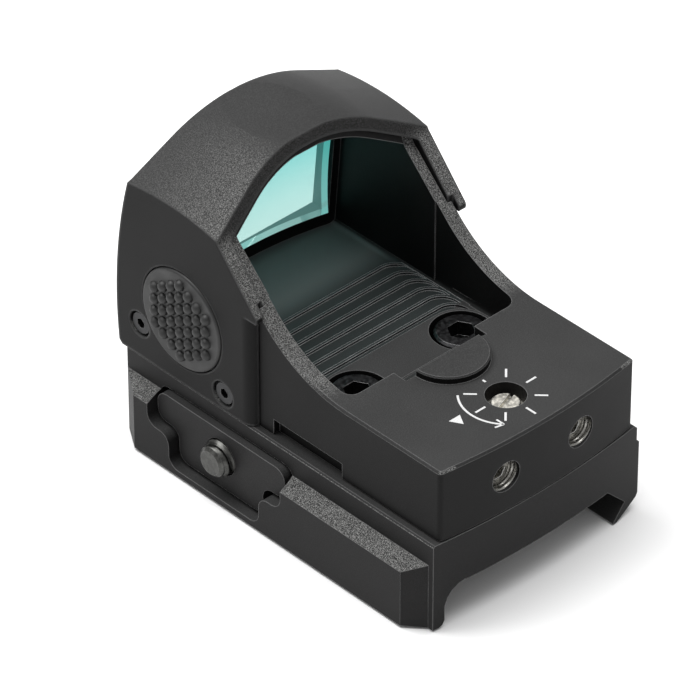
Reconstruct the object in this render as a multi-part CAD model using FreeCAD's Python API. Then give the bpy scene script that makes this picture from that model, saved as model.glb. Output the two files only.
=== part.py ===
import FreeCAD, Part
import math
import os

Vector = FreeCAD.Vector

# Red dot finder on a quick clamp for a 21.2 mm accessory rail.
# Millimetres, +X right, +Y towards the target, +Z up.
# The model is drawn with z = 0 where the sight meets its base and y = 0 at the sight's rear corners,
# then moved so that the middle of the rail seat is the origin.
REAR_TO_ORIGIN = 20.0
SEAT_TO_SIGHT = 5.8
TO_ROW = Vector(0, -REAR_TO_ORIGIN, SEAT_TO_SIGHT)

# Sight body
BODY_HALF = 13.0
DECK_Z = 8.4
REAR_BULGE = 1.0
BODY_FRONT = 43.2
REBATE_Y = 25.1
WING_START = 13.0
WING_END = (24.4, 13.3)
WALL_BEND = (29.9, 18.8)
WALL_TOP = (33.0, 24.4)
INNER_HALF = 11.2
FLOOR_Z = 4.5
FLOOR_FILLET = 0.9
RAMP_START = 12.5
RAMP_FOOT = (15.4, 5.7)
RAMP_END = 21.1
RAMP_END_Z = 5.25
RAMP_HALF = 5.4
POCKET_START = 14.2
POCKET_CORNER = 1.3
PLATE_RIGHT = 10.5
PLATE_CORNER = 3.4
RIB_COUNT = 6
RIB_PITCH = 1.74
RIB_FIRST = 1.05
RIB_WIDTH = 0.34
RIB_HEIGHT = 0.28
RIB_CORNER = 2.3
RIB_SIDE = 10.75
RIB_SIDE_STEP = 0.1
RIB_TAIL = 5.5
EDGE = 0.25

# Hood
HOOD_HALF = 14.0
HOOD_THICK = 1.6
HOOD_GAP = 0.12
HOOD_REAR = 24.8
HOOD_BOTTOM = 0.12
RIM_LOW = (24.4, 13.9)
RIM_BEND = (29.6, 19.7)
RIM_TOP = (32.4, 25.0)
HOOD_EDGE_R = 1.5
CREASE_Z = 20.85
ROOF_ANGLE = 24.4
CROWN_R = 20.0
ROOF_FLAT_Z = 24.8
ROOF_THICK = 1.15
ARCH_THICK = 0.8
SIDE_WALL = 1.2
BOW_Y = 37.0
BOW_Z = -10.0

# Lens
LENS_HALF = 10.3
LENS_BOTTOM = 6.25
LENS_SHOULDER = 16.8
LENS_TOP = 21.4
LENS_REAR_R = 44.0
LENS_FRONT_R = 46.0
LENS_REAR_Y = 41.45
WINDOW_GROW = 1.0
RETAINER_GROW = 0.65
RETAINER_DEPTH = 0.6
LENS_THICK = 1.3
LENS_TILT = 5.0
WALL_INNER_Y = 41.2

# Emitter, its adjusters and their locks
CAVITY = (8.5, 2.1, 11.1, 6.7)
POD_R = 4.2
POD_Y = 12.4
POD_TOP = 9.2
ELEV_Y = 4.4
ELEV_HOLE_R = 2.05
WIND_Y = 6.6
WIND_Z = 3.8
LOCK_X = 5.0
LOCK_Z = 4.2
LOCK_R = 1.7
RUN = 0.05

# Screws between sight and base, and locating pins
SCREW_X = 7.0
SCREW_Y = 17.6
SCREW_HEAD_R = 2.75
SCREW_HEAD_TOP = 5.3
SCREW_SEAT = 2.3
PIN_SPOTS = ((-10.7, 4.2), (10.7, 4.2), (-9.8, 40.9), (9.8, 40.9))

# Battery
CELL_Y = 31.2
CELL_R = 10.0
CELL_H = 3.2

# Power button on the hood's left side
BUTTON_Y = 34.95
BUTTON_Z = 7.9
BUTTON_R = 5.6
FLANGE_R = 5.85
NUB_R = 0.62
NUB_PITCH = 1.42
SIDE_SCREWS = ((41.25, 3.95), (29.2, 2.0))

# Rail base and clamp
BASE_HALF = 13.8
BASE_FRONT = 43.4
BAR_OUT = 15.6
CLAMP_Y = 29.0
BOLT_Z = -5.3
BOLT_R = 2.0
BOLT_TIP = -16.05
PLATE_OUT = -14.55


def box(x0, y0, z0, x1, y1, z1):
    """Block between two corners."""
    return Part.makeBox(x1 - x0, y1 - y0, z1 - z0, Vector(x0, y0, z0))


def rod(radius, start, direction, length):
    """Cylinder from a start point along a direction."""
    return Part.makeCylinder(radius, length, Vector(*start), Vector(*direction))


def prism(points, direction):
    """Straight-sided solid from a closed polygon of 3-D points."""
    wire = Part.makePolygon([Vector(*p) for p in points] + [Vector(*points[0])])
    return Part.Face(wire).extrude(Vector(*direction))


def along_x(outline, x0, x1):
    """Extrude a (y, z) polygon between two x values."""
    return prism([(x0, y, z) for y, z in outline], (x1 - x0, 0, 0))


def along_y(outline, y0, y1):
    """Extrude an (x, z) polygon between two y values."""
    return prism([(x, y0, z) for x, z in outline], (0, y1 - y0, 0))


def line(a, b):
    return Part.makeLine(Vector(*a), Vector(*b))


def arc(a, middle, b):
    return Part.Arc(Vector(*a), Vector(*middle), Vector(*b)).toShape()


def hexagon(across_flats, centre, direction, length):
    """Hexagonal bar for sockets."""
    corner = across_flats / math.sqrt(3)
    points = [Vector(corner * math.cos(k * math.pi / 3), corner * math.sin(k * math.pi / 3), 0)
              for k in range(7)]
    bar = Part.Face(Part.makePolygon(points)).extrude(Vector(0, 0, length))
    bar.Placement = FreeCAD.Placement(Vector(*centre),
                                      FreeCAD.Rotation(Vector(0, 0, 1), Vector(*direction)))
    return bar


def edges_where(shape, test):
    """Edges whose every end point and middle pass a test."""
    chosen = []
    for edge in shape.Edges:
        spots = [v.Point for v in edge.Vertexes] + [edge.CenterOfMass]
        if all(test(p) for p in spots):
            chosen.append(edge)
    return chosen


def barrel(side, roof):
    """Roof form shared by hood and arch, set in from the outer form by a side and a roof amount."""
    angle = math.radians(ROOF_ANGLE)
    half = HOOD_HALF - side
    eave = CREASE_Z + side * math.tan(angle) - roof / math.cos(angle)
    ridge_z = CREASE_Z + HOOD_HALF * math.tan(angle) - roof / math.cos(angle)
    radius = CROWN_R - roof
    tx = radius * math.sin(angle)
    tz = ridge_z - tx * math.tan(angle)
    top = tz + radius * (1 - math.cos(angle))
    wire = Part.Wire([
        line((-half, BOW_Y, BOW_Z), (-half, BOW_Y, eave)),
        line((-half, BOW_Y, eave), (-tx, BOW_Y, tz)),
        arc((-tx, BOW_Y, tz), (0, BOW_Y, top), (tx, BOW_Y, tz)),
        line((tx, BOW_Y, tz), (half, BOW_Y, eave)),
        line((half, BOW_Y, eave), (half, BOW_Y, BOW_Z)),
        line((half, BOW_Y, BOW_Z), (-half, BOW_Y, BOW_Z)),
    ])
    whole = Part.Face(wire).revolve(Vector(0, BOW_Y, BOW_Z), Vector(1, 0, 0), 360)
    return whole.common(box(-half, -60, -80, half, 120, ROOF_FLAT_Z - roof))


def rear_plan(half, front, z0, z1):
    """Plan outline with a gently bulging rear edge."""
    wire = Part.Wire([
        arc((-half, 0, z0), (0, -REAR_BULGE, z0), (half, 0, z0)),
        line((half, 0, z0), (half, front, z0)),
        line((half, front, z0), (-half, front, z0)),
        line((-half, front, z0), (-half, 0, z0)),
    ])
    return Part.Face(wire).extrude(Vector(0, 0, z1 - z0))


def d_shape(inset, y0, y1):
    """Lens outline: flat bottom, upright sides and an arched top."""
    half = LENS_HALF - inset
    low = LENS_BOTTOM + inset
    wire = Part.Wire([
        line((-half, y0, low), (half, y0, low)),
        line((half, y0, low), (half, y0, LENS_SHOULDER)),
        arc((half, y0, LENS_SHOULDER), (0, y0, LENS_TOP - inset), (-half, y0, LENS_SHOULDER)),
        line((-half, y0, LENS_SHOULDER), (-half, y0, low)),
    ])
    return Part.Face(wire).extrude(Vector(0, y1 - y0, 0))


def tilted(shape):
    """Lean the lens and its seat back at the top, about the lens's lower edge."""
    leaning = shape.copy()
    leaning.rotate(Vector(0, BODY_FRONT, LENS_BOTTOM), Vector(1, 0, 0), LENS_TILT)
    return leaning


def rounded_front(half, front, radius, z0, z1):
    """Block whose two front corners are rounded in plan."""
    block = box(-half, RAMP_START - 4, z0, half, front, z1)
    front_edges = edges_where(block, lambda p: p.y > front - 0.01)
    corners = [e for e in front_edges if e.BoundBox.ZLength > 0.5 * (z1 - z0)]
    return block.makeFillet(radius, corners)


def wing_outline():
    """Side view of the body: flat deck, concave sweep up the wings, then the arch's rear edge."""
    run = WING_END[0] - WING_START
    rise = WING_END[1] - DECK_Z
    turn = 2 * math.atan(rise / run)
    radius = run / math.sin(turn)
    middle = (0, WING_START + radius * math.sin(turn / 2), DECK_Z + radius * (1 - math.cos(turn / 2)))
    lean = (28 - LENS_BOTTOM) * math.tan(math.radians(LENS_TILT))
    x = -BODY_HALF
    wire = Part.Wire([
        line((x, -2, 0), (x, -2, DECK_Z)),
        line((x, -2, DECK_Z), (x, WING_START, DECK_Z)),
        arc((x, WING_START, DECK_Z), (x, middle[1], middle[2]), (x, WING_END[0], WING_END[1])),
        line((x, WING_END[0], WING_END[1]), (x, WALL_BEND[0], WALL_BEND[1])),
        line((x, WALL_BEND[0], WALL_BEND[1]), (x, WALL_TOP[0], WALL_TOP[1])),
        line((x, WALL_TOP[0], WALL_TOP[1]), (x, WALL_TOP[0], 28)),
        line((x, WALL_TOP[0], 28), (x, BODY_FRONT - lean, 28)),
        line((x, BODY_FRONT - lean, 28), (x, BODY_FRONT, LENS_BOTTOM)),
        line((x, BODY_FRONT, LENS_BOTTOM), (x, BODY_FRONT, 0)),
        line((x, BODY_FRONT, 0), (x, -2, 0)),
    ])
    return Part.Face(wire).extrude(Vector(2 * BODY_HALF, 0, 0))


def pocket_plan():
    """Plan of the opening in the deck: a narrow ramp between two screw pockets."""
    middle = box(-RAMP_HALF, RAMP_START, -1, RAMP_HALF, 60, 41)
    sides = box(-INNER_HALF, POCKET_START, -1, INNER_HALF, 60, 41)
    rear_edges = edges_where(sides, lambda p: p.y < POCKET_START + 0.01)
    rear_corners = [e for e in rear_edges if e.BoundBox.ZLength > 10]
    sides = sides.makeFillet(POCKET_CORNER, rear_corners)
    return middle.fuse(sides)


def sight_channel():
    """Open space from the ramp to the lens: ramp, low floor and the arch inside."""
    slope = RAMP_END + 2
    ramp = along_x([(RAMP_START, DECK_Z), RAMP_FOOT, (RAMP_END, RAMP_END_Z), (slope, RAMP_END_Z),
                    (slope, 40), (RAMP_START, 40)], -INNER_HALF, INNER_HALF)
    ramp = ramp.common(pocket_plan())
    floor = box(-INNER_HALF, POCKET_START + 1.5, FLOOR_Z, INNER_HALF, 44, 40)
    low_edges = [e for e in edges_where(floor, lambda p: p.z < FLOOR_Z + 0.01)
                 if e.BoundBox.YLength > 10]
    floor = floor.makeFillet(FLOOR_FILLET, low_edges)
    floor = floor.cut(rounded_front(PLATE_RIGHT, RAMP_END, PLATE_CORNER, 0, RAMP_END_Z))
    front_wall = tilted(rod(LENS_REAR_R, (0, WALL_INNER_Y - LENS_REAR_R, -15), (0, 0, 1), 60))
    under_arch = barrel(HOOD_THICK + HOOD_GAP + SIDE_WALL, ROOF_THICK + HOOD_GAP + ARCH_THICK)
    inside = under_arch.fuse(box(-30, 0, -1, 30, REBATE_Y + 0.5, 40))
    return ramp.fuse(floor).common(front_wall).common(inside)


def ribs():
    """Low anti-glare ribs across the floor that turn back towards the eye beside the walls."""
    solids = []
    for k in range(RIB_COUNT):
        front = RAMP_END + RIB_FIRST + k * RIB_PITCH + RIB_WIDTH
        side = RIB_SIDE + k * RIB_SIDE_STEP
        outer = rounded_front(side, front, RIB_CORNER, FLOOR_Z - 0.2, FLOOR_Z + RIB_HEIGHT)
        inner = rounded_front(side - RIB_WIDTH, front - RIB_WIDTH, RIB_CORNER - RIB_WIDTH, 0, 12)
        lane = box(-20, front - RIB_TAIL, 0, 20, front + 1, 12)
        solids.append(outer.cut(inner).common(lane))
    return solids


def make_housing():
    side = wing_outline()
    behind = rear_plan(BODY_HALF, REBATE_Y, 0, 30)
    under_hood = barrel(HOOD_THICK + HOOD_GAP, ROOF_THICK + HOOD_GAP)
    under_hood = under_hood.common(box(-30, REBATE_Y - 0.1, 0, 30, 60, 40))
    outer = side.common(behind).fuse(side.common(under_hood)).removeSplitter()
    corner_edges = [e for e in edges_where(outer, lambda p: abs(p.y) < 0.01) if e.BoundBox.ZLength > 5]
    outer = outer.makeFillet(0.5, corner_edges)
    high_edges = edges_where(outer, lambda p: p.y < 24.3 and p.z > DECK_Z - 0.01)
    top_edges = [e for e in high_edges if abs(e.CenterOfMass.x) > 12.4 or e.CenterOfMass.y < 0.6]
    outer = outer.makeChamfer(EDGE, top_edges)

    shape = outer.cut(sight_channel())
    shape = shape.fuse(ribs())
    pod = rod(POD_R, (0, POD_Y, DECK_Z - 1), (0, 0, 1), POD_TOP - DECK_Z + 1)
    pod = pod.common(box(-6, 0, DECK_Z - 1, 6, POD_Y, POD_TOP))
    pod = pod.makeChamfer(0.15, edges_where(pod, lambda p: p.z > POD_TOP - 0.01))
    shape = shape.fuse(pod)

    half, y0, y1, top = CAVITY
    shape = shape.cut(box(-half, y0, -1, half, y1, top))
    shape = shape.cut(box(-1.6, 9.3, top - 0.1, 1.6, 11.7, 8.75))
    shape = shape.cut(box(-1.2, 11.6, 7.95, 1.2, 14.0, 8.75))
    shape = shape.cut(rod(ELEV_HOLE_R, (0, ELEV_Y, top - 1), (0, 0, 1), 5))
    shape = shape.cut(rod(1.0 + RUN, (7, WIND_Y, WIND_Z), (1, 0, 0), 8))
    shape = shape.cut(rod(1.75, (11.9, WIND_Y, WIND_Z), (1, 0, 0), 3))
    for x in (-LOCK_X, LOCK_X):
        shape = shape.cut(rod(LOCK_R, (x, -2, LOCK_Z), (0, 1, 0), y0 + 3))
    for x in (-SCREW_X, SCREW_X):
        shape = shape.cut(rod(3.2, (x, SCREW_Y, SCREW_SEAT), (0, 0, 1), 8))
        shape = shape.cut(rod(1.6, (x, SCREW_Y, -1), (0, 0, 1), 5))
    shape = shape.cut(rod(CELL_R + 0.25, (0, CELL_Y, -1), (0, 0, 1), 1 + CELL_H + 0.35))
    groove = rod(11.5, (0, CELL_Y, -1), (0, 0, 1), 1.75).cut(rod(10.6, (0, CELL_Y, -2), (0, 0, 1), 4))
    shape = shape.cut(groove)
    shape = shape.cut(box(-1.6, 10.5, 0.2, 1.6, 22.0, 1.6))
    for x, y in PIN_SPOTS:
        shape = shape.cut(rod(1.03, (x, y, -1), (0, 0, 1), 3.1))
    shape = shape.cut(box(-14, 13.4, -1, -12.2, 23.0, 1.9))
    shape = shape.cut(tilted(d_shape(0, 38, 46)))
    shape = shape.cut(tilted(d_shape(-WINDOW_GROW, BODY_FRONT - RETAINER_DEPTH, 46)))
    for y, z in SIDE_SCREWS:
        for x, direction in ((-14, 1), (14, -1)):
            shape = shape.cut(rod(0.82, (x, y, z), (direction, 0, 0), 3.4))
    shape = shape.cut(rod(5.2, (-14, BUTTON_Y, BUTTON_Z), (1, 0, 0), 2.35))
    shape = shape.removeSplitter()
    bottom = [e for e in edges_where(shape, lambda p: p.z < 0.01 and p.y < 24)
              if abs(e.CenterOfMass.x) > BODY_HALF - 0.6 or e.CenterOfMass.y < 0]
    return shape.makeChamfer(0.15, bottom)


def hood_side():
    """Side view of the hood: upright rear edge, slanted rim, and a slightly bowed front."""
    x = -HOOD_HALF - 1
    wire = Part.Wire([
        line((x, HOOD_REAR, HOOD_BOTTOM), (x, HOOD_REAR, 12.6)),
        arc((x, HOOD_REAR, 12.6), (x, RIM_LOW[0] - 0.15, 13.2), (x, RIM_LOW[0] + 0.1, RIM_LOW[1])),
        line((x, RIM_LOW[0] + 0.1, RIM_LOW[1]), (x, RIM_BEND[0], RIM_BEND[1])),
        line((x, RIM_BEND[0], RIM_BEND[1]), (x, RIM_TOP[0], RIM_TOP[1])),
        line((x, RIM_TOP[0], RIM_TOP[1]), (x, 33.4, 28)),
        line((x, 33.4, 28), (x, 42.45, 28)),
        line((x, 42.45, 28), (x, 42.45, 20.6)),
        arc((x, 42.45, 20.6), (x, 44.35, 9.8), (x, 44.3, 0.55)),
        line((x, 44.3, 0.55), (x, 43.9, HOOD_BOTTOM)),
        line((x, 43.9, HOOD_BOTTOM), (x, HOOD_REAR, HOOD_BOTTOM)),
    ])
    return Part.Face(wire).extrude(Vector(2 * HOOD_HALF + 2, 0, 0))


def make_hood():
    skirt = box(-HOOD_HALF, HOOD_REAR, 0, HOOD_HALF, 60, 13.0)
    upright = [e for e in edges_where(skirt, lambda p: p.y < HOOD_REAR + 0.01) if e.BoundBox.ZLength > 10]
    skirt = skirt.makeFillet(HOOD_EDGE_R, upright)
    rounded = skirt.fuse(box(-15, 20, 13.0, 15, 60, 40))
    outer = barrel(0, 0).common(hood_side()).common(rounded)
    shell = outer.cut(barrel(HOOD_THICK, ROOF_THICK)).removeSplitter()
    body_side = BODY_HALF + 0.07
    shell = shell.cut(box(-body_side, HOOD_REAR - 1, -1, body_side, REBATE_Y + 0.08, RIM_LOW[1] + 1.5))
    shell = shell.cut(rod(BUTTON_R + 0.12, (-16, BUTTON_Y, BUTTON_Z), (1, 0, 0), 6))
    shell = shell.cut(rod(FLANGE_R + 0.1, (-13.3, BUTTON_Y, BUTTON_Z), (1, 0, 0), 3))
    for y, z in SIDE_SCREWS:
        for x, direction in ((-15, 1), (15, -1)):
            shell = shell.cut(rod(0.85, (x, y, z), (direction, 0, 0), 4))
            shell = shell.cut(rod(1.45, (x, y, z), (direction, 0, 0), 1.65))
    return shell


def make_side_screws():
    """Four small socket screws that hold the hood, sunk a little below its sides."""
    screws = []
    for y, z in SIDE_SCREWS:
        for side in (-1, 1):
            start = (side * 13.8, y, z)
            inward = (-side, 0, 0)
            head = rod(1.35, start, inward, 0.42)
            shank = rod(0.8, start, inward, 3.0)
            screw = head.fuse(shank)
            outer_edges = [e for e in screw.Edges if abs(e.CenterOfMass.x - start[0]) < 0.01]
            screw = screw.makeChamfer(0.2, outer_edges)
            screw = screw.cut(hexagon(1.0, (side * 13.9, y, z), inward, 0.7))
            screws.append(screw)
    return Part.makeCompound(screws)


def make_button():
    """Rubber push button: flange inside the hood, plunger cap with a ring of a rim and raised nubs."""
    flange = rod(FLANGE_R, (-13.28, BUTTON_Y, BUTTON_Z), (1, 0, 0), 0.4)
    cap = rod(BUTTON_R, (-14.2, BUTTON_Y, BUTTON_Z), (1, 0, 0), 1.1)
    cap = cap.makeFillet(0.3, edges_where(cap, lambda p: p.x < -14.19))
    plunger = rod(1.2, (-13.0, BUTTON_Y, BUTTON_Z), (1, 0, 0), 0.2)
    shape = cap.fuse(flange).fuse(plunger)
    nub = Part.makeSphere(NUB_R)
    for row in range(-3, 4):
        for col in range(-4, 5):
            y = row * NUB_PITCH * math.sqrt(3) / 2
            z = (col + 0.5 * (row % 2)) * NUB_PITCH
            if math.hypot(y, z) < BUTTON_R - 0.75:
                shape = shape.fuse(nub.translated(Vector(-14.1, BUTTON_Y + y, BUTTON_Z + z)))
    return shape


def make_switch():
    """Snap dome under the button."""
    dome = Part.makeSphere(6.0, Vector(-6.45, BUTTON_Y, BUTTON_Z))
    return dome.common(rod(2.0, (-13, BUTTON_Y, BUTTON_Z), (1, 0, 0), 0.88))


def make_switch_board():
    return rod(5.0, (-12.1, BUTTON_Y, BUTTON_Z), (1, 0, 0), 0.42)


def make_lens():
    """Curved glass: both faces bulge towards the target."""
    rear_ball = Part.makeSphere(LENS_REAR_R, Vector(0, LENS_REAR_Y - LENS_REAR_R, 13))
    front_ball = Part.makeSphere(LENS_FRONT_R, Vector(0, LENS_REAR_Y + LENS_THICK - LENS_FRONT_R, 13))
    return tilted(d_shape(0.25, 38, 46).common(front_ball).cut(rear_ball))


def make_lens_seal():
    """Thin seal between the lens edge and its opening."""
    return tilted(d_shape(0.02, 41.3, BODY_FRONT - RETAINER_DEPTH - 0.02).cut(d_shape(0.24, 38, 46)))


def make_lens_ring():
    """Slim retainer frame pressed into the window in front of the lens."""
    frame = d_shape(0.03 - WINDOW_GROW, BODY_FRONT - RETAINER_DEPTH + 0.02, BODY_FRONT)
    return tilted(frame.cut(d_shape(-RETAINER_GROW, 42, 46)))


def make_carrier():
    """Frame that windage moves sideways and that guides the emitter block up and down."""
    frame = box(-6.2, 2.2, 1.4, 6.2, 11.0, 6.6)
    frame = frame.cut(box(-3.05, 2.8, 2.1, 3.05, 12, 5.9))
    frame = frame.cut(box(-2.3, 7.2, 5.8, 2.3, 12, 7))
    frame = frame.cut(rod(1.0 + RUN, (0, ELEV_Y, 0), (0, 0, 1), 8))
    return frame.cut(rod(1.0 + RUN, (3, WIND_Y, WIND_Z), (1, 0, 0), 4))


def make_emitter_block():
    block = box(-3.0, 2.9, 2.6, 3.0, 10.2, 5.0)
    block = block.fuse(box(-1.2, 9.6, 5.0, 1.2, 10.2, 8.35))
    return block.cut(rod(1.0 + RUN, (0, ELEV_Y, 0), (0, 0, 1), 8)).removeSplitter()


def make_led():
    base = box(-0.9, 10.2, 7.4, 0.9, 10.6, 8.35)
    return base.fuse(rod(0.35, (0, 10.6, 8.0), (0, 1, 0), 0.4))


def slotted_head(radius, start, direction, height, slot_width, slot_depth):
    """Cheese head with a screwdriver slot in its outer end; direction points outward."""
    head = rod(radius, start, direction, height)
    top = Vector(*start) + Vector(*direction) * height
    head = head.makeChamfer(0.15, [e for e in head.Edges if (e.CenterOfMass - top).Length < 0.05])
    blade = box(-radius - 1, -slot_width / 2, height - slot_depth, radius + 1, slot_width / 2, height + 1)
    blade.Placement = FreeCAD.Placement(Vector(*start), FreeCAD.Rotation(Vector(0, 0, 1), Vector(*direction)))
    return head.cut(blade)


def make_elevation_screw():
    head = slotted_head(1.5, (0, ELEV_Y, 6.62), (0, 0, 1), 0.95, 0.45, 0.45)
    shank = rod(1.0, (0, ELEV_Y, 1.5), (0, 0, 1), 5.2)
    screw = head.fuse(shank)
    screw.rotate(Vector(0, ELEV_Y, 0), Vector(0, 0, 1), 20)
    return screw.cut(ring(1.3, 0.8, (0, ELEV_Y, 5.45), (0, 0, 1), 0.4))


def make_windage_screw():
    head = slotted_head(1.6, (11.95, WIND_Y, WIND_Z), (1, 0, 0), 0.8, 0.45, 0.4)
    shank = rod(1.0, (3.65, WIND_Y, WIND_Z), (1, 0, 0), 8.4)
    screw = head.fuse(shank)
    return screw.cut(ring(1.3, 0.8, (7.95, WIND_Y, WIND_Z), (1, 0, 0), 0.45))


def ring(outer, inner, start, direction, length):
    """Flat washer-like ring."""
    return rod(outer, start, direction, length).cut(rod(inner, start, direction, length))


def make_elevation_clip():
    return ring(1.55, 0.8, (0, ELEV_Y, 5.46), (0, 0, 1), 0.38)


def make_windage_clip():
    return ring(1.7, 0.8, (7.96, WIND_Y, WIND_Z), (1, 0, 0), 0.43)


def make_lock_screws():
    """Two socket set screws that lock the carrier from behind."""
    screws = []
    for x in (-LOCK_X, LOCK_X):
        screw = rod(LOCK_R - 0.03, (x, 0.3, LOCK_Z), (0, 1, 0), 1.75)
        screw = screw.makeChamfer(0.3, edges_where(screw, lambda p: p.y < 0.31))
        screws.append(screw.cut(hexagon(1.5, (x, -0.1, LOCK_Z), (0, 1, 0), 1.3)))
    return Part.makeCompound(screws)


def make_circuit_board():
    board = box(-8.2, 2.4, 0.25, 8.2, 10.9, 0.85)
    return board.fuse(box(-1.4, 10.8, 0.25, 1.4, 19.6, 0.85)).removeSplitter()


def make_chip():
    """Control chip on the board."""
    return box(-7.6, 4.6, 0.85, -6.4, 7.4, 1.2)


def make_cell():
    shell = rod(CELL_R, (0, CELL_Y, 0.12), (0, 0, 1), CELL_H - 0.4)
    cap = rod(CELL_R - 1.2, (0, CELL_Y, 0.12 + CELL_H - 0.4), (0, 0, 1), 0.4)
    return shell.makeFillet(0.3, edges_where(shell, lambda p: p.z < 0.13)).fuse(cap)


def make_cell_contact():
    """Spring leaf above the cell with a tail that reaches the board."""
    return ring(7.0, 4.5, (0, CELL_Y, CELL_H + 0.14), (0, 0, 1), 0.16)


def make_side_contact():
    """Strip from the board's tongue over the seal to the cell's edge."""
    strip = box(-1.2, 18.6, 0.86, 1.2, 21.1, 1.03)
    upright = box(-1.2, 20.93, 1.03, 1.2, 21.1, 1.5)
    return strip.fuse(upright).removeSplitter()


def make_cell_seal():
    return Part.makeTorus(11.05, 0.36, Vector(0, CELL_Y, 0.375))


def make_mounting_screws():
    """Two socket-head screws from the sight down into the base."""
    screws = []
    for x in (-SCREW_X, SCREW_X):
        head = rod(SCREW_HEAD_R, (x, SCREW_Y, SCREW_SEAT), (0, 0, 1), SCREW_HEAD_TOP - SCREW_SEAT)
        head = head.makeChamfer(0.25, edges_where(head, lambda p: p.z > SCREW_HEAD_TOP - 0.01))
        head = head.cut(hexagon(2.5, (x, SCREW_Y, SCREW_HEAD_TOP - 1.6), (0, 0, 1), 2))
        screws.append(head.fuse(rod(1.5, (x, SCREW_Y, -4.4), (0, 0, 1), 4.4 + SCREW_SEAT)))
    return Part.makeCompound(screws)


def make_pins():
    return Part.makeCompound([rod(1.0, (x, y, -2.6), (0, 0, 1), 4.6) for x, y in PIN_SPOTS])


def mushroom(inset, x0, x1):
    """Side outline of the clamp pocket: wide ears above, narrower foot below."""
    ear = 9.6 - inset
    foot = 6.5 - inset
    top = -1.85 - 0.5 * inset
    under = -5.9 + inset
    low = -9.5 + inset
    r = 1.3
    outline = [(ear, top), (ear, under), (foot, under), (foot, low),
               (-foot, low), (-foot, under), (-ear, under), (-ear, top)]
    solid = along_x([(CLAMP_Y + y, z) for y, z in outline], x0, x1)
    corners = [e for e in solid.Edges if e.BoundBox.XLength > 0.9 * abs(x1 - x0)]
    return solid.makeFillet(r, corners)


def rail_section():
    """Cross-section of the base: flat top, rail seat, left leg and right fixed jaw with its V groove."""
    return [(-13.8, -0.2), (-13.6, 0), (13.3, 0), (13.7, -0.4), (13.7, -1.9), (14.1, -2.3),
            (14.1, -8.6), (13.85, -9.0), (10.95, -10.4), (10.55, -10.45), (10.3, -10.3), (12.05, -8.55),
            (9.3, -5.8),
            (-9.9, -5.8), (-9.9, -5.7), (-10.7, -5.85), (-11.5, -6.3), (-12.1, -7.0), (-12.4, -7.9),
            (-12.4, -9.6), (-12.65, -10.1), (-13.1, -10.3), (-13.8, -10.3)]


def make_base():
    core = along_y(rail_section(), -2, BASE_FRONT)
    core = core.common(rear_plan(14.1, BASE_FRONT, -12, 1))
    bar = along_y([(-13.7, -2.55), (-BAR_OUT, -3.6), (-BAR_OUT, -10.2), (-13.7, -10.3)], 0, BASE_FRONT)
    plan = prism([(-13.6, 0.4, -12), (-13.8, 0.6, -12), (-BAR_OUT, 2.6, -12), (-BAR_OUT, 40.6, -12),
                  (-13.8, BASE_FRONT, -12), (-13.6, BASE_FRONT, -12)], (0, 0, 12))
    shape = core.fuse(bar.common(plan)).removeSplitter()
    shape = shape.cut(mushroom(0, -17, -11.9))
    shape = shape.cut(box(-14.0, CLAMP_Y - 6.7, -11, -11.2, CLAMP_Y + 6.7, -6.2))
    shape = shape.cut(rod(BOLT_R + 0.2, (-13, CLAMP_Y, BOLT_Z), (1, 0, 0), 28))
    shape = shape.cut(rod(3.5, (12.9, CLAMP_Y, BOLT_Z), (1, 0, 0), 3))
    for x in (-SCREW_X, SCREW_X):
        shape = shape.cut(rod(1.52, (x, SCREW_Y, -4.7), (0, 0, 1), 6))
    for x, y in PIN_SPOTS:
        shape = shape.cut(rod(1.0, (x, y, -2.6), (0, 0, 1), 4))
    return shape


def make_clamp_plate():
    """Clamp plate in its pocket, with the inner jaw that hooks under the rail."""
    plate = mushroom(0.45, PLATE_OUT, -12.45)
    jaw = along_y([(-12.55, -6.6), (-11.6, -6.6), (-10.95, -7.4), (-10.95, -9.65), (-10.25, -10.35),
                   (-10.4, -10.5), (-12.45, -10.5), (-12.55, -9.0)], CLAMP_Y - 5.9, CLAMP_Y + 5.9)
    return plate.fuse(jaw).cut(rod(BOLT_R + RUN, (-16, CLAMP_Y, BOLT_Z), (1, 0, 0), 8)).removeSplitter()


def make_cross_bolt():
    head = slotted_head(3.1, (13.45, CLAMP_Y, BOLT_Z), (1, 0, 0), 2.6, 0.9, 1.0)
    shank = rod(BOLT_R, (BOLT_TIP, CLAMP_Y, BOLT_Z), (1, 0, 0), 13.5 - BOLT_TIP)
    shank = shank.makeChamfer(0.4, edges_where(shank, lambda p: p.x < BOLT_TIP + 0.01))
    return head.fuse(shank)


def make_washer():
    return ring(3.2, BOLT_R + RUN, (12.92, CLAMP_Y, BOLT_Z), (1, 0, 0), 0.5)


NODES = {
    "housing": make_housing,
    "hood_shell": make_hood,
    "hood_screws": make_side_screws,
    "power_button": make_button,
    "switch_dome": make_switch,
    "switch_board": make_switch_board,
    "lens": make_lens,
    "lens_seal": make_lens_seal,
    "lens_ring": make_lens_ring,
    "windage_carrier": make_carrier,
    "windage_screw": make_windage_screw,
    "windage_clip": make_windage_clip,
    "emitter_block": make_emitter_block,
    "emitter_led": make_led,
    "elevation_screw": make_elevation_screw,
    "elevation_clip": make_elevation_clip,
    "lock_screws": make_lock_screws,
    "circuit_board": make_circuit_board,
    "control_chip": make_chip,
    "battery": make_cell,
    "battery_contact": make_cell_contact,
    "side_contact": make_side_contact,
    "battery_seal": make_cell_seal,
    "mounting_screws": make_mounting_screws,
    "locating_pins": make_pins,
    "rail_base": make_base,
    "clamp_plate": make_clamp_plate,
    "cross_bolt": make_cross_bolt,
    "bolt_washer": make_washer,
}

os.makedirs("parts", exist_ok=True)
for name, make in NODES.items():
    shape = make()
    shape.translate(TO_ROW)
    shape.exportStep("parts/" + name + ".step")
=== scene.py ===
import math

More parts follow.
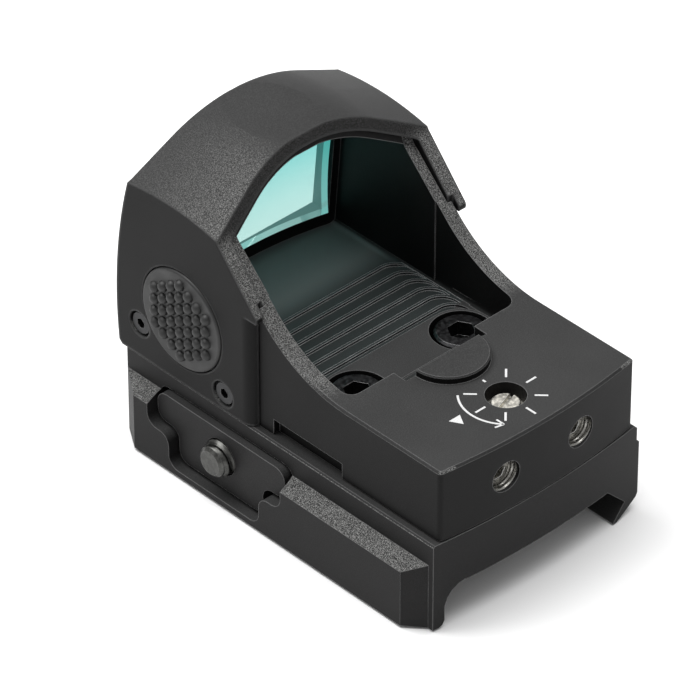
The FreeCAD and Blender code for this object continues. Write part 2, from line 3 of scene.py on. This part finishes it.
import bmesh
import bpy
from mathutils import Matrix, Vector


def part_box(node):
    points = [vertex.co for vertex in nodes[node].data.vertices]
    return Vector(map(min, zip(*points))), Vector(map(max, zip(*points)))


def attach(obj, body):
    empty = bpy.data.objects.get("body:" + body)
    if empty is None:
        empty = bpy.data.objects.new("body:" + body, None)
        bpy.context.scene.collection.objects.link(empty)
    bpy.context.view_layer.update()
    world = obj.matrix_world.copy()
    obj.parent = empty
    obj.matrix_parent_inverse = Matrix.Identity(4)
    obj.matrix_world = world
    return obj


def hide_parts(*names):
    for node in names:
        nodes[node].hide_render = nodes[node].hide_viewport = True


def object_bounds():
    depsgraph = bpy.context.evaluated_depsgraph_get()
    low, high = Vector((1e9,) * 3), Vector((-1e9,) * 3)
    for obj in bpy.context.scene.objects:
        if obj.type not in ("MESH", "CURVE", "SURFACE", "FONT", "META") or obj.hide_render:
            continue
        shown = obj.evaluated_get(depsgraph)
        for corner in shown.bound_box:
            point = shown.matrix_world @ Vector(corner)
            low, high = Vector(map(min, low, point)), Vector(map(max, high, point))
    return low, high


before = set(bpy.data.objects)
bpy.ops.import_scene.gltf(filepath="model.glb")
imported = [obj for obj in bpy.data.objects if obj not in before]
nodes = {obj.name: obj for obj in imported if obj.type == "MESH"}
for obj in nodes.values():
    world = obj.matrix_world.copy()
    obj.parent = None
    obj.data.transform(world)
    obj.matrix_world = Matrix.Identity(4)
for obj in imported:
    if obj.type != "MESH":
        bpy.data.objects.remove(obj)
cad_low, cad_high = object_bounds()
MM = 0.001

# ---------------------------------------------------------------- places read from the CAD
HOUSING_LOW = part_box("housing")[0]
BASE_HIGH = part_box("rail_base")[1]
BOLT_LOW, BOLT_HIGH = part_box("cross_bolt")
SCREW_LOW, SCREW_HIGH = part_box("elevation_screw")
LOCK_LOW, LOCK_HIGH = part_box("lock_screws")
LENS_LOW, LENS_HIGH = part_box("lens")

DECK_HEIGHT = 8.4 * MM                     # deck above the plane where sight and base meet
DECK_Z = BASE_HIGH[2] + DECK_HEIGHT
SCREW_CENTRE = Vector(((SCREW_LOW[0] + SCREW_HIGH[0]) / 2, (SCREW_LOW[1] + SCREW_HIGH[1]) / 2))
BOLT_AXIS = Vector((0, (BOLT_LOW[1] + BOLT_HIGH[1]) / 2, (BOLT_LOW[2] + BOLT_HIGH[2]) / 2))


# ---------------------------------------------------------------- material helpers
class Builder:
    """Small wrapper that adds and links shader nodes."""

    def __init__(self, name):
        self.material = bpy.data.materials.new(name)
        self.material.use_nodes = True
        self.tree = self.material.node_tree
        self.bsdf = self.tree.nodes["Principled BSDF"]
        self.output = self.tree.nodes["Material Output"]
        coords = self.add("ShaderNodeTexCoord")
        self.place = coords.outputs["Object"]
        self.normal = self.add("ShaderNodeNewGeometry").outputs["Normal"]

    def add(self, kind, **settings):
        node = self.tree.nodes.new(kind)
        for key, value in settings.items():
            setattr(node, key, value)
        return node

    def link(self, source, target):
        self.tree.links.new(source, target)

    def put(self, socket, value):
        """Set a socket from a number, a colour or another node's output."""
        if isinstance(value, bpy.types.NodeSocket):
            self.link(value, socket)
        else:
            socket.default_value = value

    def math(self, operation, a, b=0.0, clamp=False):
        node = self.add("ShaderNodeMath", operation=operation, use_clamp=clamp)
        self.put(node.inputs[0], a)
        self.put(node.inputs[1], b)
        return node.outputs[0]

    def noise(self, scale, detail=2.0, rough=0.5):
        node = self.add("ShaderNodeTexNoise")
        self.link(self.place, node.inputs["Vector"])
        node.inputs["Scale"].default_value = scale
        node.inputs["Detail"].default_value = detail
        node.inputs["Roughness"].default_value = rough
        return node.outputs["Fac"]

    def ramp(self, value, low, high, out_low=0.0, out_high=1.0):
        """Smooth step of a value between two limits."""
        node = self.add("ShaderNodeMapRange", interpolation_type="SMOOTHSTEP")
        self.put(node.inputs["Value"], value)
        node.inputs["From Min"].default_value = low
        node.inputs["From Max"].default_value = high
        node.inputs["To Min"].default_value = out_low
        node.inputs["To Max"].default_value = out_high
        return node.outputs["Result"]

    def mix(self, factor, a, b):
        node = self.add("ShaderNodeMix", data_type="RGBA")
        self.put(node.inputs["Factor"], factor)
        self.put(node.inputs["A"], a)
        self.put(node.inputs["B"], b)
        return node.outputs["Result"]

    def scale(self, colour, factor):
        """Colour made lighter or darker by a factor."""
        node = self.add("ShaderNodeVectorMath", operation="SCALE")
        self.put(node.inputs[0], colour)
        self.put(node.inputs["Scale"], factor)
        return node.outputs["Vector"]

    def split(self, vector):
        node = self.add("ShaderNodeSeparateXYZ")
        self.link(vector, node.inputs[0])
        return node.outputs

    def edges(self, radius):
        """1 on sharp edges, 0 on open faces."""
        bevel = self.add("ShaderNodeBevel", samples=6)
        bevel.inputs["Radius"].default_value = radius
        dot = self.add("ShaderNodeVectorMath", operation="DOT_PRODUCT")
        self.link(bevel.outputs[0], dot.inputs[0])
        self.link(self.normal, dot.inputs[1])
        return self.ramp(dot.outputs["Value"], 0.995, 0.90), bevel.outputs[0]

    def bump(self, height, distance, strength=1.0, base=None):
        node = self.add("ShaderNodeBump")
        node.inputs["Strength"].default_value = strength
        node.inputs["Distance"].default_value = distance
        self.put(node.inputs["Height"], height)
        if base is not None:
            self.link(base, node.inputs["Normal"])
        return node.outputs["Normal"]

    def surface(self, colour=None, roughness=None, normal=None, **constants):
        if colour is not None:
            self.put(self.bsdf.inputs["Base Color"], colour)
        if roughness is not None:
            self.put(self.bsdf.inputs["Roughness"], roughness)
        if normal is not None:
            self.link(normal, self.bsdf.inputs["Normal"])
        for key, value in constants.items():
            self.bsdf.inputs[key.replace("_", " ")].default_value = value
        return self.material


EDGE_LINE = 0.13 * MM
HOOD_EDGE_LINE = 0.45 * MM
GRAIN_SCALE = 10500.0
GRAIN_DEPTH = 0.05 * MM
ANODISED_SPECULAR = 0.10
# painted light: lighter tone for faces that turn up, as if lit from above
PAINTED_UPWARD_LIGHT_TONE = 0.036
# painted highlight: light tone along sharp edges
EDGE_HIGHLIGHT_TONE = 0.16
# blast grain: dark ground with light specks; the specks are painted sheen on faces turned to the light
BLAST_DARK = (0.014, 0.014, 0.014, 1)
BLAST_SHEEN_SPECK = (0.24, 0.24, 0.235, 1)


def grey(tone):
    return (tone, tone, tone, 1)


def anodised(name, dark, grain_and_sheen_mask=None, smooth=0.46, painted_edge_tone=EDGE_HIGHLIGHT_TONE, upward_light_tone=PAINTED_UPWARD_LIGHT_TONE,
             line=EDGE_LINE, channel=False):
    """Black anodised aluminium: satin, faint clouding, fine grain and blast grain; painted light: a lighter
    tone on faces that turn up, painted highlights along sharp edges and painted sheen on the blast grain.
    """
    b = Builder(name)
    edge, rounded = b.edges(line)
    cloud = b.noise(90.0, 3.0)
    grain = b.noise(GRAIN_SCALE, 3.0, 0.6)
    nz = b.split(b.normal)[2]
    shade = b.mix(b.ramp(cloud, 0.35, 0.65), (dark * 0.88, dark * 0.86, dark * 0.87, 1),
                  (dark * 1.14, dark * 1.11, dark * 1.12, 1))
    # painted light: faces that turn up get a lighter tone, as if lit from above
    painted_upward_light = b.mix(b.ramp(cloud, 0.35, 0.65), grey(upward_light_tone * 0.94), grey(upward_light_tone * 1.06))
    shade = b.mix(b.ramp(nz, 0.25, 0.98), shade, painted_upward_light)
    fleck = b.ramp(grain, 0.40, 0.70, 0.75, 1.30)
    shade = b.scale(shade, fleck)
    if channel:
        painted_light_floor, ribbed = channel_masks(b)
        # painted light: channel floor made lighter and blue-green towards the lens
        shade = b.mix(painted_light_floor, shade, CHANNEL_PAINTED_LIGHT)
        # painted shade: darker floor between the ribs
        shade = b.mix(b.math("MULTIPLY", ribbed, 0.75), shade, RIB_FLOOR_PAINTED_SHADE)
        # painted highlight: light lines along the rib edges
        shade = b.mix(b.math("MULTIPLY", ribbed, b.ramp(edge, 0.02, 0.30)), shade, RIB_EDGE_PAINTED_HIGHLIGHT)
    blast_and_sheen = grain_and_sheen_mask(b) if grain_and_sheen_mask else None
    if blast_and_sheen is not None:
        speck = b.ramp(grain, 0.42, 0.66)
        # painted sheen: light specks of the blast grain on faces turned to the light
        blast_grain_and_sheen = b.mix(speck, BLAST_DARK, BLAST_SHEEN_SPECK)
        shade = b.mix(blast_and_sheen, shade, blast_grain_and_sheen)
    # painted highlight: light line along sharp edges, a little patchy
    painted_edge_amount = b.math("MULTIPLY", edge, b.ramp(b.noise(500.0, 2.0), 0.15, 0.60, 0.65, 1.0))
    shade = b.mix(painted_edge_amount, shade, grey(painted_edge_tone))
    rough = b.ramp(cloud, 0.3, 0.7, smooth - 0.03, smooth + 0.04)
    height = b.math("MULTIPLY", grain, 0.35)
    if blast_and_sheen is not None:
        rough = b.math("ADD", rough, b.math("MULTIPLY", blast_and_sheen, 0.15))
        height = b.math("MULTIPLY", grain, b.math("ADD", blast_and_sheen, 0.35))
    normal = b.bump(height, GRAIN_DEPTH, 0.8, rounded)
    return b.surface(shade, rough, normal, Specular_IOR_Level=ANODISED_SPECULAR)


# Bounds of the sight channel, where its floor turns lighter with painted light, and where the ribs start and
# die away
CHANNEL_HALF = 10.95 * MM
CHANNEL_TOP = 11.3 * MM
PAINTED_LIGHT_Y = (7.0 * MM, 12.5 * MM)
FIRST_RIB_Y = 1.4 * MM
RIBS_FADE_Y = (14.5 * MM, 10.9 * MM)
# painted light on the channel floor near the lens
CHANNEL_PAINTED_LIGHT = (0.110, 0.126, 0.124, 1)
# painted shade on the floor between the ribs
RIB_FLOOR_PAINTED_SHADE = (0.016, 0.021, 0.021, 1)
# painted highlight on the rib edges
RIB_EDGE_PAINTED_HIGHLIGHT = (0.60, 0.62, 0.62, 1)


def channel_masks(b):
    """Two areas of the sight channel: its floor near the lens, lighter with painted light, and the ribs,
    which get painted shade between them and painted highlights on their edges.
    """
    nz = b.split(b.normal)[2]
    x, y, z = b.split(b.place)
    inside = b.math("LESS_THAN", b.math("ABSOLUTE", x), CHANNEL_HALF)
    low = b.math("MULTIPLY", inside, b.math("LESS_THAN", z, CHANNEL_TOP))
    floor = b.math("MULTIPLY", low, b.ramp(nz, 0.6, 0.95))
    # painted light grows towards the lens
    painted_light_floor = b.math("MULTIPLY", floor, b.ramp(y, *PAINTED_LIGHT_Y, 0.10, 1.0))
    ahead = b.math("GREATER_THAN", y, FIRST_RIB_Y)
    ribbed = b.math("MULTIPLY", b.math("MULTIPLY", low, ahead), b.ramp(y, *RIBS_FADE_Y))
    painted_light_floor = b.math("MULTIPLY", painted_light_floor, ahead)
    return painted_light_floor, ribbed


# Heights between which the hood's rim loses its grain and painted sheen, and the same along the roof slope
RIM_SHEEN_FADE_Z = (26.5 * MM, 24.5 * MM)
SLOPE_SHEEN_FADE_Y = (22.0 * MM, 7.0 * MM)
WING_INSIDE = 11.1 * MM
BAR_INSIDE = -13.75 * MM


def hood_grain_and_sheen(b):
    """Grain of the hood, whose light specks are painted sheen: strong on the lower rim, fading over the left
    roof slope, smooth on the level crown.
    """
    nx, ny, nz = b.split(b.normal)
    y, z = b.split(b.place)[1:3]
    low = b.ramp(z, *RIM_SHEEN_FADE_Z, 0.10, 0.9)
    rim = b.math("MULTIPLY", b.math("MULTIPLY", b.ramp(ny, -0.35, -0.60), b.ramp(nz, 0.2, 0.4)), low)
    slope = b.math("MULTIPLY", b.ramp(nx, -0.12, -0.38), b.ramp(nz, 0.5, 0.8))
    rear = b.ramp(y, *SLOPE_SHEEN_FADE_Y, 0.10, 0.75)
    return b.math("MAXIMUM", rim, b.math("MULTIPLY", slope, rear))


def wing_grain_and_sheen(b):
    """Blast grain on the tops of the wings on both sides of the sight channel; its light specks are painted
    sheen.
    """
    ny, nz = b.split(b.normal)[1:3]
    x = b.split(b.place)[0]
    up = b.math("MULTIPLY", b.ramp(ny, -0.10, -0.30), b.ramp(nz, 0.2, 0.35))
    outside = b.math("GREATER_THAN", b.math("ABSOLUTE", x), WING_INSIDE)
    return b.math("MULTIPLY", b.math("MULTIPLY", up, outside), 0.85)


def bar_grain_and_sheen(b):
    """Blast grain on the sloping upper face of the side bar; its light specks are painted sheen."""
    nx, _, nz = b.split(b.normal)
    x = b.split(b.place)[0]
    slope = b.math("MULTIPLY", b.ramp(nx, -0.25, -0.4), b.ramp(nz, 0.5, 0.7))
    return b.math("MULTIPLY", slope, b.math("LESS_THAN", x, BAR_INSIDE))


def metal(name, colour, roughness, scratch=0.5, edge_glint_tone=0.0):
    """Bare or plated metal with fine scratches and painted glints along sharp edges."""
    b = Builder(name)
    streak = b.noise(2600.0, 4.0, 0.6)
    fine = b.noise(12000.0, 2.0)
    dull = tuple(c * 0.62 for c in colour) + (1,)
    tone = b.mix(b.ramp(streak, 0.35, 0.7), dull, tuple(colour) + (1,))
    rough = b.ramp(streak, 0.3, 0.75, roughness * 0.75, roughness * 1.3)
    edge, rounded = b.edges(0.10 * MM)
    # painted highlight: lighter tone along sharp edges, standing in for glints
    if edge_glint_tone:
        tone = b.mix(b.math("MULTIPLY", edge, 0.8), tone, grey(edge_glint_tone))
    normal = b.bump(fine, 0.004 * MM, scratch, rounded)
    return b.surface(tone, rough, normal, Metallic=1.0)


def rubber(name, dark):
    """Dull rubber with faint clouding."""
    b = Builder(name)
    cloud = b.noise(400.0, 3.0)
    fine = b.noise(7000.0, 3.0)
    tone = b.mix(cloud, (dark * 0.8, dark * 0.8, dark * 0.8, 1), (dark * 1.3, dark * 1.3, dark * 1.32, 1))
    return b.surface(tone, b.ramp(cloud, 0.3, 0.7, 0.48, 0.62), b.bump(fine, 0.012 * MM, 0.6), IOR=1.52)


def plastic(name, colour, roughness):
    """Moulded plastic with faint clouding."""
    b = Builder(name)
    cloud = b.noise(300.0, 2.0)
    tone = b.mix(cloud, tuple(c * 0.8 for c in colour) + (1,), tuple(c * 1.15 for c in colour) + (1,))
    return b.surface(tone, roughness, b.bump(b.noise(5000.0), 0.006 * MM, 0.5), IOR=1.5)


def paint(name, tone):
    """White filling of the engraved marks."""
    b = Builder(name)
    spots = b.noise(9000.0, 2.0)
    dull = (tone * 0.75, tone * 0.75, tone * 0.74, 1)
    colour = b.mix(b.ramp(spots, 0.3, 0.55), dull, grey(tone))
    return b.surface(colour, 0.55, b.bump(spots, 0.006 * MM, 0.5), IOR=1.45)


# blue-green coating tint; its change from bottom to upper edge is a painted reflection
GLASS_TINT_AND_REFLECTION_LOW = (0.34, 0.47, 0.445, 1)
GLASS_TINT_AND_REFLECTION_HIGH = (0.10, 0.385, 0.38, 1)
# painted light: the lens gives off light of its own though it is no lamp
PAINTED_GLOW_LOW = (0.34, 0.80, 0.76, 1)
PAINTED_GLOW_HIGH = (0.05, 0.62, 0.56, 1)
PAINTED_GLOW_STRENGTH = 0.12


def coated_glass(name, low, high):
    """Glass with a blue-green coating whose tint deepens upwards as a painted reflection, and a faint painted
    emission of its own.
    """
    b = Builder(name)
    z = b.split(b.place)[2]
    smear = b.noise(160.0, 3.0)
    # painted reflection: tint blend by height
    painted_reflection_fade = b.ramp(b.math("ADD", z, b.math("MULTIPLY", smear, 0.8 * MM)), low, high)
    tone = b.mix(painted_reflection_fade, GLASS_TINT_AND_REFLECTION_LOW, GLASS_TINT_AND_REFLECTION_HIGH)
    # painted light: emission colour of the lens
    painted_glow = b.mix(painted_reflection_fade, PAINTED_GLOW_LOW, PAINTED_GLOW_HIGH)
    b.link(painted_glow, b.bsdf.inputs["Emission Color"])
    rough = b.ramp(smear, 0.3, 0.8, 0.0, 0.02)
    return b.surface(tone, rough, None, Transmission_Weight=1.0, IOR=1.45,
                     Emission_Strength=PAINTED_GLOW_STRENGTH)


black = anodised("anodised_body", 0.0060, wing_grain_and_sheen, channel=True)
# painted highlight along the hood's edges kept dim
hood_black = anodised("anodised_hood", 0.0060, hood_grain_and_sheen, line=HOOD_EDGE_LINE, painted_edge_tone=0.06)
base_black = anodised("anodised_base", 0.0130, bar_grain_and_sheen)
plate_black = anodised("anodised_plate", 0.016, None, 0.42)
# painted light: inner parts get only a faint lighter tone on faces that turn up
inner_black = anodised("anodised_inner", 0.006, None, 0.55, upward_light_tone=0.012)
steel = metal("bare_steel", (0.50, 0.49, 0.46), 0.30, 0.6, 0.80)
stud_steel = metal("stud_steel", (0.10, 0.10, 0.095), 0.36, 0.6, 0.22)
bright = metal("bright_nickel", (0.84, 0.81, 0.73), 0.42, 0.8, 0.95)
black_steel = metal("black_oxide_steel", (0.050, 0.050, 0.052), 0.38, 0.5, 0.16)
button_rubber = rubber("button_rubber", 0.006)
seal_rubber = rubber("seal_rubber", 0.012)
board = plastic("board_laminate", (0.03, 0.14, 0.06), 0.4)
chip = plastic("chip_plastic", (0.02, 0.02, 0.02), 0.5)
lamp = plastic("lamp_plastic", (0.55, 0.03, 0.03), 0.2)
white = paint("mark_paint", 0.58)
glass = coated_glass("coated_glass", LENS_LOW[2], LENS_HIGH[2])

FINISHES = {
    "housing": black, "hood_shell": hood_black, "hood_screws": black_steel, "power_button": button_rubber,
    "switch_dome": steel, "switch_board": board, "lens": glass, "lens_seal": seal_rubber,
    "lens_ring": inner_black, "windage_carrier": bright, "windage_screw": bright, "windage_clip": steel,
    "emitter_block": inner_black, "emitter_led": lamp, "elevation_screw": bright, "elevation_clip": steel,
    "lock_screws": steel, "circuit_board": board, "control_chip": chip, "battery": bright,
    "battery_contact": steel, "side_contact": steel, "battery_seal": seal_rubber,
    "mounting_screws": black_steel, "locating_pins": steel, "rail_base": base_black,
    "clamp_plate": plate_black, "cross_bolt": stud_steel, "bolt_washer": steel,
}
for name, finish in FINISHES.items():
    for material_slot in nodes[name].material_slots:
        material_slot.link = "OBJECT"
        material_slot.material = finish


# ---------------------------------------------------------------- mesh helpers
def new_piece(name, mesh, finish, body, smooth=True):
    """Object from a mesh, with its finish, on a body of the frame."""
    mesh.materials.append(finish)
    for face in mesh.polygons:
        face.use_smooth = smooth
    piece = bpy.data.objects.new(name, mesh)
    bpy.context.scene.collection.objects.link(piece)
    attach(piece, body)
    return piece


def mesh_from(name, vertices, faces):
    """Mesh with joined points and outward faces."""
    mesh = bpy.data.meshes.new(name)
    mesh.from_pydata([tuple(v) for v in vertices], [], faces)
    mesh.validate()
    shape = bmesh.new()
    shape.from_mesh(mesh)
    bmesh.ops.remove_doubles(shape, verts=shape.verts, dist=1e-7)
    bmesh.ops.recalc_face_normals(shape, faces=shape.faces)
    shape.to_mesh(mesh)
    shape.free()
    return mesh


def slab(outline, low, high):
    """Flat piece from a counter-clockwise plan outline between two heights."""
    count = len(outline)
    vertices = [(x, y, low) for x, y in outline] + [(x, y, high) for x, y in outline]
    faces = [list(range(count))[::-1], list(range(count, 2 * count))]
    faces += [[i, (i + 1) % count, (i + 1) % count + count, i + count] for i in range(count)]
    return vertices, faces


def helical_thread(axis_point, axis, root, crest, pitch, length, segments=48):
    """Closed ridge that winds round an axis, as vertices and faces; crest may be inside or outside root."""
    axis = Vector(axis).normalized()
    side = axis.orthogonal().normalized()
    other = axis.cross(side)
    turns = length / pitch
    count = int(turns * segments)
    profile = [(root, -0.5), (root + (crest - root) * 0.9, -0.12), (crest, 0.0),
               (root + (crest - root) * 0.9, 0.12), (root, 0.5)]
    vertices = []
    for i in range(count + 1):
        angle = 2 * math.pi * i / segments
        along = pitch * i / segments
        ease = min(1.0, i / (segments * 0.5), (count - i) / (segments * 0.5))
        for radius, offset in profile:
            r = root + (radius - root) * ease
            spot = Vector(axis_point) + axis * (along + offset * pitch)
            vertices.append(spot + side * (r * math.cos(angle)) + other * (r * math.sin(angle)))
    width = len(profile)
    faces = []
    for i in range(count):
        for j in range(width - 1):
            a = i * width + j
            faces.append([a, a + 1, a + width + 1, a + width])
    return vertices, faces


def lathe(profile, axis_point, axis, segments=64):
    """Round solid from (along, radius) pairs; a radius of 0 closes an end."""
    axis = Vector(axis).normalized()
    side = axis.orthogonal().normalized()
    other = axis.cross(side)
    vertices = []
    for along, radius in profile:
        for k in range(segments):
            angle = 2 * math.pi * k / segments
            vertices.append(Vector(axis_point) + axis * along
                            + side * (radius * math.cos(angle)) + other * (radius * math.sin(angle)))
    faces = []
    for i in range(len(profile) - 1):
        for k in range(segments):
            a = i * segments + k
            b = i * segments + (k + 1) % segments
            faces.append([a, b, b + segments, a + segments])
    return vertices, faces


# ---------------------------------------------------------------- marks on the deck
MARK_LIFT = 0.03 * MM
MARK_DEPTH = 0.05 * MM
MARK_WIDTH = 0.22 * MM
RAY_INNER = 2.75 * MM
RAY_OUTER = 4.05 * MM
SHORT_RAY_OUTER = 3.15 * MM
RAY_COUNT = 8
SHORT_RAY = 2
ARROW_R = 4.6 * MM
ARROW_FROM = math.radians(138)
ARROW_TO = math.radians(222)
ARROW_STEPS = 24
ARROW_TIP = 0.1 * MM
BARB_ANGLE = math.radians(142)
BARB_LENGTH = 1.0 * MM
TRIANGLE_CENTRE = SCREW_CENTRE + Vector((-6.1 * MM, 0.35 * MM))
TRIANGLE_R = 0.85 * MM


def stroke(points, width):
    """Plan outline of an open line with a width."""
    left, right = [], []
    for i, point in enumerate(points):
        before = points[max(i - 1, 0)]
        after = points[min(i + 1, len(points) - 1)]
        along = (after - before).normalized()
        across = Vector((-along.y, along.x)) * (width / 2)
        left.append(point + across)
        right.append(point - across)
    return [tuple(p) for p in right] + [tuple(p) for p in reversed(left)]


def deck_mark(name, outline):
    vertices, faces = slab(outline, DECK_Z - MARK_DEPTH, DECK_Z + MARK_LIFT)
    return new_piece(name, mesh_from(name, vertices, faces), white, "sight", False)


def around(centre, radius, angle):
    """Point in the deck's plane at a radius and angle from a centre."""
    return centre + Vector((math.cos(angle), math.sin(angle))) * radius


def rays():
    """Eight rays round the screw; the one towards the half-round cover is short."""
    for k in range(RAY_COUNT):
        angle = 2 * math.pi * k / RAY_COUNT
        outer = SHORT_RAY_OUTER if k == SHORT_RAY else RAY_OUTER
        line = [around(SCREW_CENTRE, RAY_INNER, angle), around(SCREW_CENTRE, outer, angle)]
        deck_mark(f"ray_{k}", stroke(line, MARK_WIDTH))


def turning_arrow():
    """Curved arrow on the left of the rays."""
    points = []
    for i in range(ARROW_STEPS + 1):
        angle = ARROW_FROM + (ARROW_TO - ARROW_FROM) * i / ARROW_STEPS
        points.append(around(SCREW_CENTRE, ARROW_R, angle))
    deck_mark("arrow_arc", stroke(points, MARK_WIDTH))
    tip = points[-1] + (points[-1] - points[-2]).normalized() * ARROW_TIP
    heading = (points[-1] - points[-3]).normalized()
    for side, label in ((1, "left"), (-1, "right")):
        turn = Matrix.Rotation(side * BARB_ANGLE, 2)
        barb = [tip, tip + (turn @ heading) * BARB_LENGTH]
        deck_mark("arrow_barb_" + label, stroke(barb, MARK_WIDTH * 0.9))


def direction_triangle():
    """Plain filled triangle at the tail of the arrow."""
    corners = [around(TRIANGLE_CENTRE, TRIANGLE_R, math.radians(-90 + 120 * k)) for k in range(3)]
    deck_mark("triangle", [tuple(corner) for corner in corners])


rays()
turning_arrow()
direction_triangle()


# ---------------------------------------------------------------- threads
HOLE_R = 1.70 * MM
LOCK_R = 1.67 * MM
HOLE_PITCH = 0.42 * MM
HOLE_THREAD_START = 0.55 * MM
HOLE_THREAD_LENGTH = 1.2 * MM
BOLT_CORE_R = 1.66 * MM
BOLT_CREST_R = 2.0 * MM
BOLT_PITCH = 0.70 * MM
BOLT_THREAD_LENGTH = 4.6 * MM
BOLT_THREAD_END = 5.4 * MM
BOLT_HEAD_R = 3.1 * MM
BOLT_HEAD_LENGTH = 2.6 * MM
HEAD_SLOT = (2.0 * MM, 0.9 * MM, 9 * MM)


def rear_hole_threads():
    """Bright thread turns inside the two tapped holes in the rear face."""
    z = (LOCK_LOW[2] + LOCK_HIGH[2]) / 2
    for side, x in (("left", LOCK_LOW[0] + LOCK_R), ("right", LOCK_HIGH[0] - LOCK_R)):
        start = Vector((x, HOUSING_LOW[1] + HOLE_THREAD_START, z))
        vertices, faces = helical_thread(start, (0, 1, 0), HOLE_R + 0.02 * MM, HOLE_R - 0.20 * MM,
                                         HOLE_PITCH, HOLE_THREAD_LENGTH)
        name = "rear_thread_" + side
        new_piece(name, mesh_from(name, vertices, faces), steel, "sight")


def cross_bolt():
    """Clamp bolt with a real thread where it stands out of the plate, and a slotted head."""
    core, crest, head_r = BOLT_CORE_R, BOLT_CREST_R, BOLT_HEAD_R
    length = BOLT_HIGH[0] - BOLT_LOW[0]
    head_start = length - BOLT_HEAD_LENGTH
    profile = [(0, 0), (0, 1.30 * MM), (0.32 * MM, core), (BOLT_THREAD_END, core),
               (BOLT_THREAD_END + 0.4 * MM, crest), (head_start, crest), (head_start, head_r),
               (length - 0.25 * MM, head_r), (length, head_r - 0.25 * MM), (length, 0)]
    start = Vector((BOLT_LOW[0], BOLT_AXIS.y, BOLT_AXIS.z))
    vertices, faces = lathe(profile, start, (1, 0, 0))
    bolt = new_piece("bolt_core", mesh_from("bolt_core", vertices, faces), stud_steel, "bolt", False)
    for face in bolt.data.polygons:
        face.use_smooth = abs(face.normal.x) < 0.3
    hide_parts("cross_bolt")
    vertices, faces = helical_thread(start + Vector((0.62 * MM, 0, 0)), (1, 0, 0), core - 0.02 * MM, crest,
                                     BOLT_PITCH, BOLT_THREAD_LENGTH)
    new_piece("bolt_thread", mesh_from("bolt_thread", vertices, faces), stud_steel, "bolt")
    slot_box = bpy.data.meshes.new("slot_box")
    shape = bmesh.new()
    bmesh.ops.create_cube(shape, size=1.0)
    bmesh.ops.scale(shape, vec=HEAD_SLOT, verts=shape.verts)
    bmesh.ops.translate(shape, vec=(BOLT_HIGH[0], BOLT_AXIS.y, BOLT_AXIS.z), verts=shape.verts)
    shape.to_mesh(slot_box)
    shape.free()
    cutter = bpy.data.objects.new("slot_box", slot_box)
    bpy.context.scene.collection.objects.link(cutter)
    cut = bolt.modifiers.new("slot", "BOOLEAN")
    cut.operation = "DIFFERENCE"
    cut.object = cutter
    bpy.context.view_layer.update()
    done = bpy.data.meshes.new_from_object(bolt.evaluated_get(bpy.context.evaluated_depsgraph_get()))
    bolt.modifiers.clear()
    bolt.data = done
    bpy.data.objects.remove(cutter)


rear_hole_threads()
cross_bolt()


# ---------------------------------------------------------------- floor, light and camera
FLOOR_HALF = 3.0
WORLD_STRENGTH = 0.55
KEY_PLACE = (-0.25, 0.35, 0.75)
TOP_PLACE = (0.10, -0.05, 0.85)


def make_floor():
    """Pale paper floor at the lowest point of the object."""
    size = FLOOR_HALF
    mesh = bpy.data.meshes.new("floor")
    corners = [(-size, -size, 0), (size, -size, 0), (size, size, 0), (-size, size, 0)]
    mesh.from_pydata(corners, [], [(0, 1, 2, 3)])
    b = Builder("floor_paper")
    tone = b.mix(b.noise(6.0), (0.86, 0.86, 0.86, 1), (0.88, 0.88, 0.88, 1))
    mesh.materials.append(b.surface(tone, 0.9, None))
    floor = bpy.data.objects.new("floor", mesh)
    floor.location.z = cad_low[2]
    bpy.context.scene.collection.objects.link(floor)


def softbox(name, place, size, power):
    """Square area light that faces the object."""
    data = bpy.data.lights.new(name, "AREA")
    data.shape = "SQUARE"
    data.size = size
    data.energy = power
    light = bpy.data.objects.new(name, data)
    light.location = place
    light.rotation_euler = (-Vector(place)).to_track_quat("-Z", "Y").to_euler()
    bpy.context.scene.collection.objects.link(light)


CAMERA_AZIMUTH = math.radians(43.95)
CAMERA_ELEVATION = math.radians(37.24)
CAMERA_DISTANCE = 0.600
CAMERA_FOCAL = 317.6
LOOK_FROM = Vector((0.0, 0.0, 0.0108))
LOOK_SIDE = -0.00413
LOOK_UP = 0.00011


def make_camera():
    """Long-lens camera behind the sight, above and to its left."""
    forward = Vector((math.sin(CAMERA_AZIMUTH) * math.cos(CAMERA_ELEVATION),
                      math.cos(CAMERA_AZIMUTH) * math.cos(CAMERA_ELEVATION), -math.sin(CAMERA_ELEVATION)))
    right = Vector((math.cos(CAMERA_AZIMUTH), -math.sin(CAMERA_AZIMUTH), 0))
    up = right.cross(forward)
    place = LOOK_FROM - forward * CAMERA_DISTANCE
    aim = LOOK_FROM + right * LOOK_SIDE + up * LOOK_UP
    data = bpy.data.cameras.new("camera")
    data.lens = CAMERA_FOCAL
    data.sensor_width = 36.0
    data.clip_start = 0.01
    camera = bpy.data.objects.new("camera", data)
    camera.location = place
    camera.rotation_euler = (aim - place).to_track_quat("-Z", "Y").to_euler()
    bpy.context.scene.collection.objects.link(camera)
    bpy.context.scene.camera = camera


def make_light():
    """White surroundings and two softboxes."""
    world = bpy.data.worlds.new("studio")
    world.use_nodes = True
    background = world.node_tree.nodes["Background"]
    background.inputs["Color"].default_value = (1.0, 1.0, 1.0, 1)
    background.inputs["Strength"].default_value = WORLD_STRENGTH
    bpy.context.scene.world = world
    softbox("key_light", KEY_PLACE, 0.5, 6.0)
    softbox("top_light", TOP_PLACE, 0.6, 5.0)
    bpy.context.scene.view_settings.view_transform = "Standard"


make_floor()
make_light()
make_camera()
